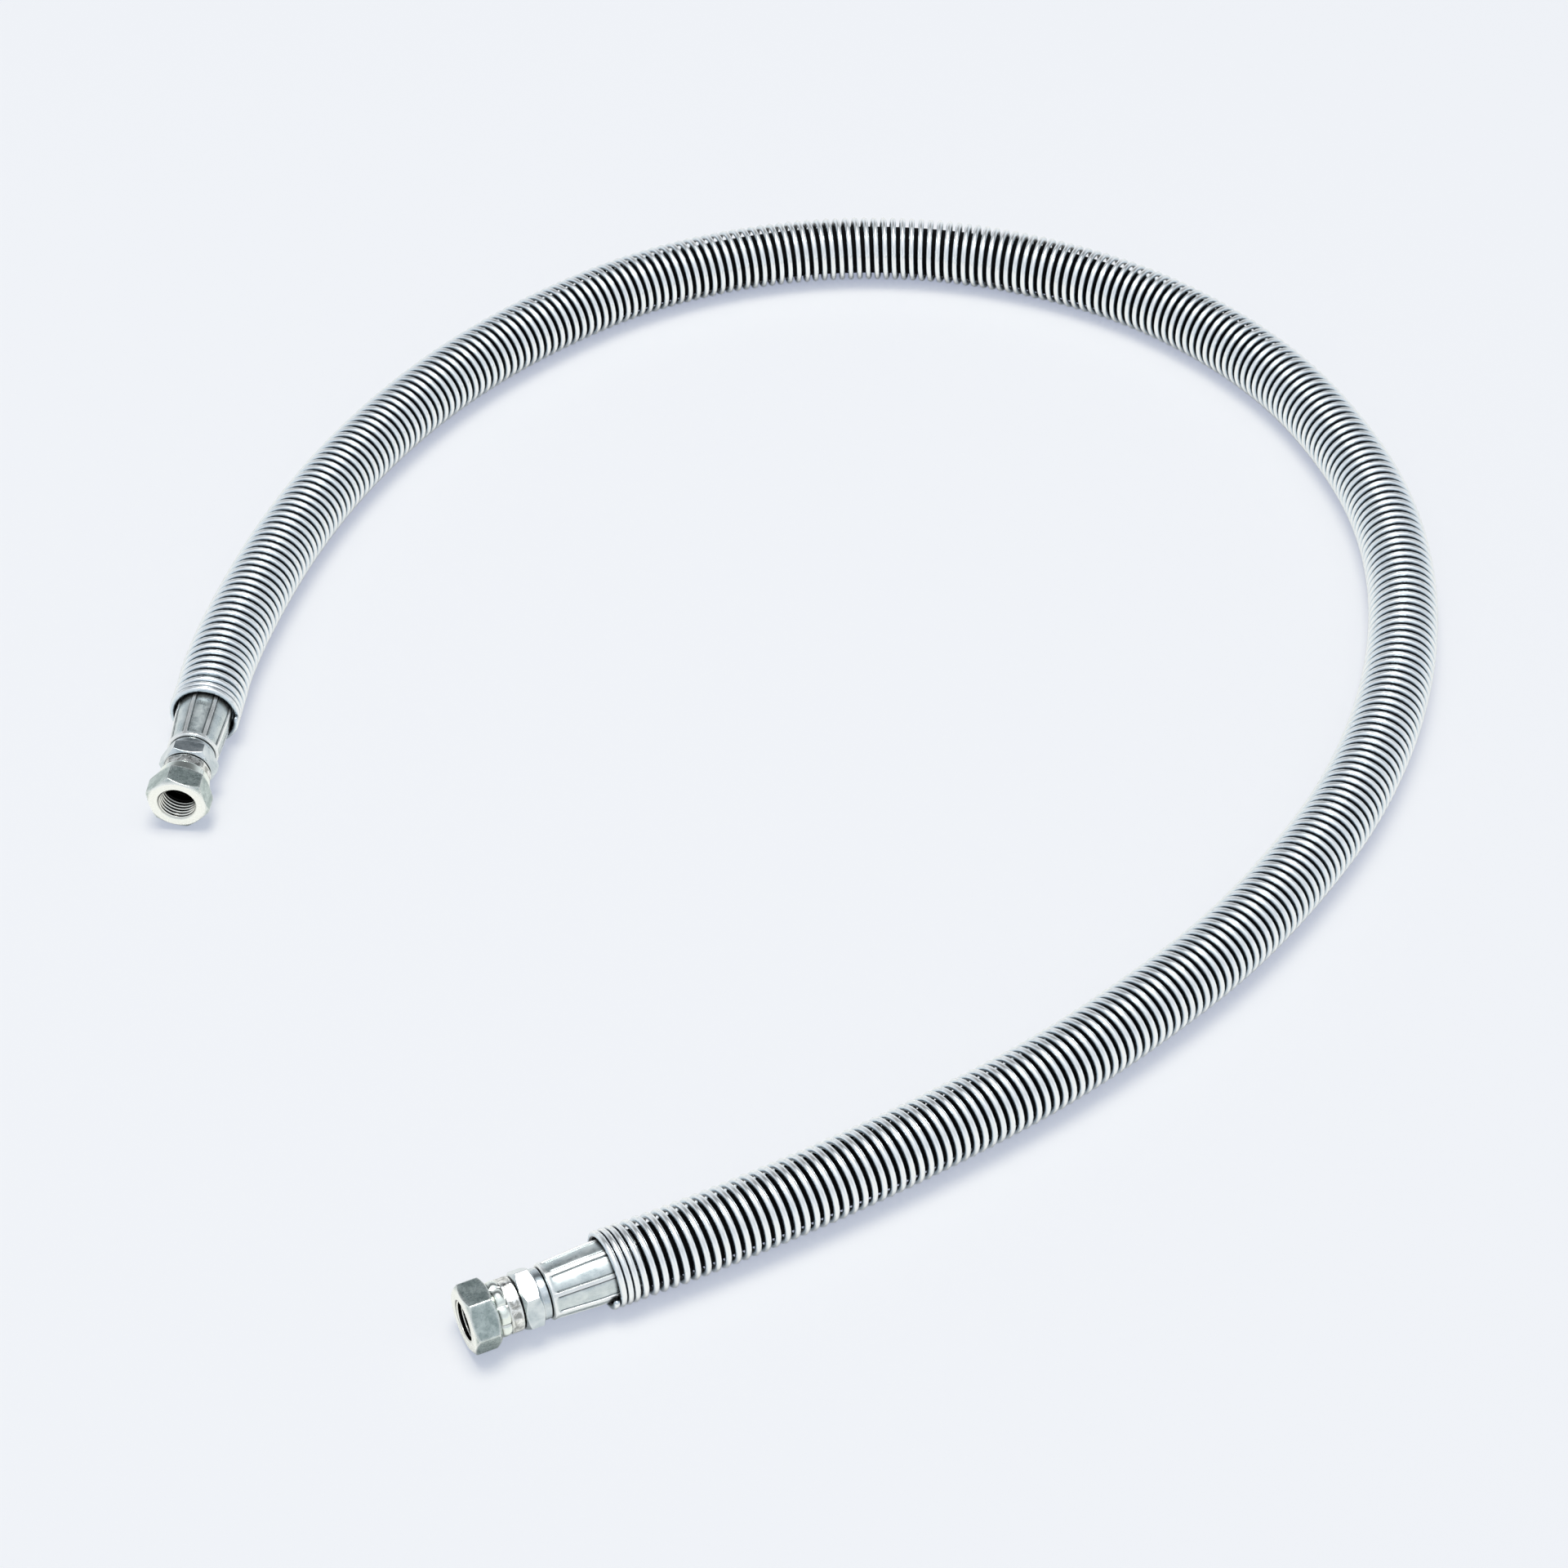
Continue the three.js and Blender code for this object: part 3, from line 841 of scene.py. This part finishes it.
# Painted shade: the next three tones darken the flanks, the grooves between turns and the side facing the
# rubber.
SHADED_FLANK_TONE = (0.66, 0.75, 0.82)
GROOVE_SHADE_TONE = (0.04, 0.05, 0.07)
INSIDE_SHADE_TONE = (0.015, 0.015, 0.02)


def wire_finish():
    material, tree, shader, place = new_material("bright zinc wire")
    drawn = use_group(tree, lines, Place=place, Stretch=(1.0, 1.0, 0.05), Fineness=1.6)
    cloud = use_group(tree, clouds, Place=place, Size=6.0, Contrast=0.8)
    streak = ranged(tree, drawn, 0.0, 1.0, low_in=0.38, high_in=0.55)
    outward = add(tree, "ShaderNodeSeparateXYZ")
    join(tree, place, outward.inputs[0])
    # Painted shade: the crest that points out of the coil keeps the zinc tone, while the flanks, the
    # grooves and the side facing the rubber are darkened.
    on_crest = ranged(tree, outward.outputs["X"], 0.0, 1.0, low_in=0.30, high_in=0.85)
    shaded_inside = ranged(tree, outward.outputs["X"], 1.0, 0.0, low_in=-0.55, high_in=-0.10)
    painted_groove_shade = use_group(tree, painted_shade, Reach=0.0009, Amount=2.2)
    tone = mixed(tree, streak, *DRAWN_TONES)
    tone = mixed(tree, on_crest, SHADED_FLANK_TONE, tone)
    tone = mixed(tree, painted_groove_shade, tone, GROOVE_SHADE_TONE)
    tone = mixed(tree, shaded_inside, tone, INSIDE_SHADE_TONE)
    join(tree, tone, shader.inputs["Base Color"])
    shader.inputs["Metallic"].default_value = 0.85
    join(tree, ranged(tree, cloud, 0.16, 0.28), shader.inputs["Roughness"])
    bumped(tree, shader, drawn, 0.00008, 0.6)
    return material


# %% [markdown]
# The nuts were forged, so their flats are mottled and slightly green, and their edges get a
# painted highlight. The front face rubs against whatever it stands on and is worn bright, and the
# neck was never touched by a spanner and shines. Corners get painted shade. The bore is painted
# dark as painted shade, deeper in and in the thread's roots, with a painted highlight on the
# crests towards the mouth. The place that every vertex keeps tells them apart: its third number
# is the station, and the other two give the distance from the axis.

# %% Masks along and across a turned piece
def along_axis(tree, place, low, high):
    """0 below the station low, 1 above high."""
    split = add(tree, "ShaderNodeSeparateXYZ")
    join(tree, place, split.inputs[0])
    return ranged(tree, split.outputs["Z"], 0.0, 1.0, low_in=low, high_in=high)


def off_axis(tree, place, near, far):
    """0 nearer the axis than near, 1 further than far."""
    flatten = add(tree, "ShaderNodeVectorMath", operation="MULTIPLY")
    join(tree, place, flatten.inputs[0])
    flatten.inputs[1].default_value = (1, 1, 0)
    length = add(tree, "ShaderNodeVectorMath", operation="LENGTH")
    join(tree, flatten.outputs[0], length.inputs[0])
    return ranged(tree, length.outputs["Value"], 0.0, 1.0, low_in=near, high_in=far)


# %% Mottled zinc on the nuts
FORGED_TONES = ((0.30, 0.37, 0.36), (0.56, 0.64, 0.62))
GRAIN_TONES = ((0.32, 0.39, 0.37), (0.62, 0.70, 0.66))
PRESSED_TONES = ((0.40, 0.40, 0.37), (0.96, 0.96, 0.92))
NECK_TONE = (0.88, 0.93, 0.86)
FACE_TONE = (0.96, 0.97, 0.91)
# Painted light: a painted highlight on edges, painted shade in corners, a painted highlight on the thread's
# crests and painted shade down the bore.
NUT_EDGE_HIGHLIGHT_TONE = (0.98, 0.99, 0.95)
NUT_CORNER_SHADE_TONE = (0.03, 0.035, 0.03)
THREAD_HIGHLIGHT_TONE = (0.99, 0.99, 0.93)
BORE_SHADE_TONE = (0.01, 0.01, 0.01)


def nut_finish():
    material, tree, shader, place = new_material("mottled green zinc")
    grain = use_group(tree, clouds, Place=place, Size=0.8, Contrast=1.0)
    cloud = use_group(tree, clouds, Place=place, Size=3.2, Contrast=1.6)
    lumps = use_group(tree, clouds, Place=place, Size=1.6, Contrast=1.8)
    # Painted highlight on edges and painted shade in corners.
    edge_highlight = use_group(tree, edge_highlights, Width=0.0011, Amount=1.6)
    painted_shade_at = use_group(tree, painted_shade, Reach=0.0012, Amount=1.4)
    on_neck = along_axis(tree, place, NUT_COLLAR_FRONT - 0.1, NUT_COLLAR_FRONT + 0.2)
    on_hexagon = along_axis(tree, place, NUT_HEX_BACK - 0.6, NUT_HEX_BACK)
    on_face = along_axis(tree, place, NUT_FRONT - 0.8, NUT_FRONT - 0.2)
    outside = off_axis(tree, place, 6.9, 7.1)

    forged = mixed(tree, 0.3, mixed(tree, cloud, *FORGED_TONES), mixed(tree, grain, *GRAIN_TONES))
    tone = mixed(tree, on_neck, mixed(tree, lumps, *PRESSED_TONES), NECK_TONE)
    tone = mixed(tree, on_hexagon, tone, forged)
    tone = mixed(tree, on_face, tone, FACE_TONE)
    tone = mixed(tree, edge_highlight, tone, NUT_EDGE_HIGHLIGHT_TONE)
    tone = mixed(tree, painted_shade_at, tone, NUT_CORNER_SHADE_TONE)

    # Painted shade down the bore and in the thread's roots, with a painted highlight on the crests.
    in_root = off_axis(tree, place, THREAD_CREST + 0.2, THREAD_CREST + 0.5)
    lit = along_axis(tree, place, THREAD_BACK + 1, THREAD_BACK + 3)
    at_mouth = along_axis(tree, place, NUT_FRONT - 0.4, NUT_FRONT - 0.1)
    bore = mixed(tree, lit, BORE_SHADE_TONE, mixed(tree, in_root, THREAD_HIGHLIGHT_TONE, BORE_SHADE_TONE))
    bore = mixed(tree, at_mouth, bore, FACE_TONE)
    join(tree, mixed(tree, outside, bore, tone), shader.inputs["Base Color"])

    shader.inputs["Metallic"].default_value = 1.0
    flat_rough = math_node(tree, "MULTIPLY_ADD", grain, 0.10, 0.24)
    rough = math_node(tree, "MULTIPLY", flat_rough, ranged(tree, on_hexagon, 0.45, 1.0))
    join(tree, math_node(tree, "MULTIPLY_ADD", edge_highlight, -0.08, rough), shader.inputs["Roughness"])
    on_flats = math_node(tree, "MULTIPLY", on_hexagon, outside)
    pitted = math_node(tree, "MULTIPLY", grain, on_flats)
    off_neck = math_node(tree, "SUBTRACT", 1.0, on_neck)
    beaten = math_node(tree, "MULTIPLY", lumps, off_neck)
    bumped(tree, shader, math_node(tree, "MULTIPLY_ADD", beaten, 2.0, pitted), 0.00006, 0.5)
    return material


# %% [markdown]
# The nipples were turned in a lathe and shine most, with fine lines round them. Their edges get a
# painted highlight and their corners painted shade, and what shows of a nipple down the nut's bore
# is painted dark as painted shade.

# %% Bright zinc on the nipples
TURNED_TONES = ((0.50, 0.57, 0.60), (0.78, 0.83, 0.84))
# Painted light: a painted highlight on edges, painted shade down the bore and painted shade in corners.
NIPPLE_EDGE_HIGHLIGHT_TONE = (0.97, 0.98, 0.96)
NIPPLE_BORE_SHADE_TONE = (0.02, 0.02, 0.02)
CORNER_SHADE_TONE = (0.03, 0.035, 0.04)


def nipple_finish():
    material, tree, shader, place = new_material("bright turned zinc")
    cloud = use_group(tree, clouds, Place=place, Size=4.0, Contrast=1.0)
    turned = use_group(tree, lines, Place=place, Stretch=(0.08, 0.08, 1.0), Fineness=5.0)
    # Painted highlight on edges, painted shade in corners and down the bore.
    edge_highlight = use_group(tree, edge_highlights, Width=0.0005, Amount=1.0)
    painted_shade_at = use_group(tree, painted_shade, Reach=0.002, Amount=1.1)
    tone = mixed(tree, cloud, *TURNED_TONES)
    tone = mixed(tree, edge_highlight, tone, NIPPLE_EDGE_HIGHLIGHT_TONE)
    tone = mixed(tree, along_axis(tree, place, HEAD_BACK - 0.5, HEAD_BACK), tone, NIPPLE_BORE_SHADE_TONE)
    tone = mixed(tree, painted_shade_at, tone, CORNER_SHADE_TONE)
    join(tree, tone, shader.inputs["Base Color"])
    shader.inputs["Metallic"].default_value = 1.0
    join(tree, ranged(tree, cloud, 0.14, 0.24), shader.inputs["Roughness"])
    bumped(tree, shader, turned, 0.00005, 0.4)
    return material


# %% [markdown]
# The ferrules carry soft smears from the crimping dies. The depth that each vertex keeps makes
# the ridges bright, where the dies never touched, and paints the creases round the panels dark as
# painted shade. Edges get a painted highlight and corners painted shade.

# %% Satin zinc on the ferrules
CLOUDED_TONES = ((0.48, 0.56, 0.57), (0.84, 0.89, 0.87))
SMEARED_TONES = ((0.44, 0.51, 0.53), (0.88, 0.92, 0.90))
RIDGE_TONE = (0.92, 0.94, 0.93)
# Painted light: a painted highlight on edges and painted shade in the creases.
FERRULE_EDGE_HIGHLIGHT_TONE = (0.96, 0.97, 0.96)
CREASE_SHADE_TONE = (0.17, 0.19, 0.20)


def ferrule_finish():
    material, tree, shader, place = new_material("satin crimped zinc")
    smear = use_group(tree, lines, Place=place, Stretch=(1.0, 1.0, 0.12), Fineness=0.9)
    cloud = use_group(tree, clouds, Place=place, Size=3.5, Contrast=1.2)
    # Painted highlight on edges and painted shade in corners and creases.
    edge_highlight = use_group(tree, edge_highlights, Width=0.00045, Amount=1.0)
    painted_shade_at = use_group(tree, painted_shade, Reach=0.0016, Amount=1.2)
    depth = add(tree, "ShaderNodeAttribute", attribute_name="depth").outputs["Fac"]
    ridge = ranged(tree, depth, 1.0, 0.0, low_in=0.05, high_in=0.6 * PANEL_DEPTH)
    crease_from = PANEL_DEPTH + 0.01
    crease_to = PANEL_DEPTH + 0.6 * CREASE_DEPTH
    crease = ranged(tree, depth, 0.0, 1.0, low_in=crease_from, high_in=crease_to)
    outside = off_axis(tree, place, FERRULE_SKIN, FERRULE_SKIN + 0.2)

    tone = mixed(tree, 0.5, mixed(tree, cloud, *CLOUDED_TONES), mixed(tree, smear, *SMEARED_TONES))
    tone = mixed(tree, ridge, tone, RIDGE_TONE)
    tone = mixed(tree, edge_highlight, tone, FERRULE_EDGE_HIGHLIGHT_TONE)
    tone = mixed(tree, math_node(tree, "MULTIPLY", crease, outside), tone, CREASE_SHADE_TONE)
    tone = mixed(tree, painted_shade_at, tone, CORNER_SHADE_TONE)
    join(tree, tone, shader.inputs["Base Color"])
    shader.inputs["Metallic"].default_value = 0.9
    join(tree, ranged(tree, cloud, 0.24, 0.38), shader.inputs["Roughness"])
    bumped(tree, shader, smear, 0.00006, 0.5)
    return material


# %% [markdown]
# The rubber is nearly black and dull, with the faint rings of the cloth it was cured in.

# %% Black rubber
RUBBER_TONES = ((0.002, 0.002, 0.003), (0.006, 0.006, 0.007))


def rubber_finish():
    material, tree, shader, place = new_material("black rubber")
    cloud = use_group(tree, clouds, Place=place, Size=5.0, Contrast=1.0)
    wrap = use_group(tree, lines, Place=place, Stretch=(0.3, 0.3, 1.0), Fineness=2.0)
    join(tree, mixed(tree, cloud, *RUBBER_TONES), shader.inputs["Base Color"])
    shader.inputs["Metallic"].default_value = 0.0
    shader.inputs["Specular IOR Level"].default_value = 0.06
    join(tree, ranged(tree, cloud, 0.60, 0.80), shader.inputs["Roughness"])
    bumped(tree, shader, wrap, 0.0002, 0.5)
    return material

# %% Give each piece its finish
FINISHES = {
    "rubber": rubber_finish(),
    "guard_wire": wire_finish(),
    "ferrule_plating": ferrule_finish(),
    "nipple_plating": nipple_finish(),
    "nut_plating": nut_finish(),
}
for piece, _, _, finish in RIDES:
    piece.data.materials.append(FINISHES[finish])
print("materials", sorted(material.name for material in FINISHES.values()))

# %% [markdown]
# ## Floor and light
#
# The floor is plain and pale. In the photo its shadows are faint and turn lavender. To the
# camera alone, the floor is therefore mixed with a bluish glow, and its own colour is a little
# warmer, so that the lit floor stays the same pale grey. The metal mirrors the plain floor and
# gets no more light from it.

# %% The floor
FLOOR_HALF = 12.0
FLOOR_TONE = (0.93, 0.93, 0.93)
FLOOR_TONE_SEEN = (0.947, 0.915, 0.804)
GLOW_TONE = (0.70, 0.775, 1.0)
GLOW_STRENGTH = 1.12
SHADOW_LIFT = 0.42

floor_corners = [(x * FLOOR_HALF, y * FLOOR_HALF, 0) for x, y in ((-1, -1), (1, -1), (1, 1), (-1, 1))]
floor_mesh = bpy.data.meshes.new("floor")
floor_mesh.from_pydata(floor_corners, [], [(0, 1, 2, 3)])
floor = bpy.data.objects.new("floor", floor_mesh)
bpy.context.scene.collection.objects.link(floor)
floor_material = bpy.data.materials.new("pale floor")
floor_material.use_nodes = True
floor_nodes = floor_material.node_tree
floor_shader = floor_nodes.nodes["Principled BSDF"]
floor_shader.inputs["Roughness"].default_value = 0.9
floor_shader.inputs["Specular IOR Level"].default_value = 0.1
seen = add(floor_nodes, "ShaderNodeLightPath").outputs["Is Camera Ray"]
join(floor_nodes, mixed(floor_nodes, seen, FLOOR_TONE, FLOOR_TONE_SEEN), floor_shader.inputs["Base Color"])
glow = add(floor_nodes, "ShaderNodeEmission")
join(floor_nodes, GLOW_TONE, glow.inputs["Color"])
glow.inputs["Strength"].default_value = GLOW_STRENGTH
lifted = add(floor_nodes, "ShaderNodeMixShader")
join(floor_nodes, math_node(floor_nodes, "MULTIPLY", seen, SHADOW_LIFT), lifted.inputs["Fac"])
join(floor_nodes, floor_shader.outputs[0], lifted.inputs[1])
join(floor_nodes, glow.outputs[0], lifted.inputs[2])
join(floor_nodes, lifted.outputs[0], floor_nodes.nodes["Material Output"].inputs["Surface"])
floor_mesh.materials.append(floor_material)
print("floor", 2 * FLOOR_HALF, "m wide")

# %% [markdown]
# Metal is only as good as what it mirrors. What the wires mirror in the photo is a white room
# with something dark at its back. So the sky here is pale overhead and in front, and has a dark
# panel at the back, from low down to between fifty and sixty degrees. The far side of every
# turn mirrors that panel, and the rest of the turn mirrors white. The sky gives matt surfaces
# less light than the metal sees, so that the lamp's shadows stay.

# %% The sky that the metal mirrors
SKY_TINT = (0.95, 1.0, 1.07)
SKY_IN_FRONT = [  # height, from the horizon at 0 to straight up at 1, and the brightness there
    (0.0, 0.94), (0.2, 0.80), (0.38, 0.70), (0.55, 0.72), (0.75, 0.92), (0.88, 1.0), (1.0, 1.0),
]
SKY_AT_BACK = [
    (0.0, 0.86), (0.2, 0.74), (0.4, 0.50), (0.55, 0.26), (0.74, 0.14), (0.80, 0.4), (0.86, 0.95),
    (1.0, 1.0),
]
SKY_LIGHT = 0.6


def sky_ramp(tree, height, levels):
    """The sky's colour by height."""
    node = add(tree, "ShaderNodeValToRGB")
    join(tree, height, node.inputs[0])
    elements = node.color_ramp.elements
    while len(elements) < len(levels):
        elements.new(0.5)
    for element, (position, level) in zip(elements, levels):
        element.position = position
        element.color = (*(level * share for share in SKY_TINT), 1)
    return node.outputs["Color"]


world = bpy.data.worlds.new("studio")
bpy.context.scene.world = world
world.use_nodes = True
sky = world.node_tree
background = sky.nodes["Background"]
split = add(sky, "ShaderNodeSeparateXYZ")
join(sky, add(sky, "ShaderNodeTexCoord").outputs["Generated"], split.inputs[0])
in_front = sky_ramp(sky, split.outputs["Z"], SKY_IN_FRONT)
at_back = sky_ramp(sky, split.outputs["Z"], SKY_AT_BACK)
backwards = add(sky, "ShaderNodeMapRange", interpolation_type="SMOOTHSTEP")
backwards.inputs["From Min"].default_value = -0.15
backwards.inputs["From Max"].default_value = 0.45
join(sky, split.outputs["Y"], backwards.inputs["Value"])
join(sky, mixed(sky, backwards.outputs[0], in_front, at_back), background.inputs["Color"])
ray = add(sky, "ShaderNodeLightPath")
mirrored = math_node(sky, "MAXIMUM", ray.outputs["Is Camera Ray"], ray.outputs["Is Glossy Ray"])
join(sky, ranged(sky, mirrored, SKY_LIGHT, 1.0), background.inputs["Strength"])
print("sky", len(SKY_IN_FRONT), "levels in front,", len(SKY_AT_BACK), "at the back")

# %% [markdown]
# The shadows in the photo are short and soft-edged, so the lamp is a wide disk almost straight
# overhead. It is slightly warm and the sky slightly blue, so that together they are near white.

# %% The lamp
LAMP_DIRECTION = Vector((-0.04, 0.0, 1)).normalized()
LAMP_DISTANCE = 4.0
LAMP_WIDTH = 2.1
LAMP_WATTS = 98
LAMP_TONE = (1.0, 0.985, 0.93)

lamp_data = bpy.data.lights.new("soft lamp", "AREA")
lamp_data.shape = "DISK"
lamp_data.size = LAMP_WIDTH
lamp_data.energy = LAMP_WATTS
lamp_data.color = LAMP_TONE
lamp = bpy.data.objects.new("soft lamp", lamp_data)
bpy.context.scene.collection.objects.link(lamp)
lamp.location = aim + LAMP_DISTANCE * LAMP_DIRECTION
lamp.rotation_euler = LAMP_DIRECTION.to_track_quat("Z", "Y").to_euler()
bpy.context.scene.view_settings.view_transform = "Standard"
print("lamp at", [round(x, 2) for x in lamp.location])
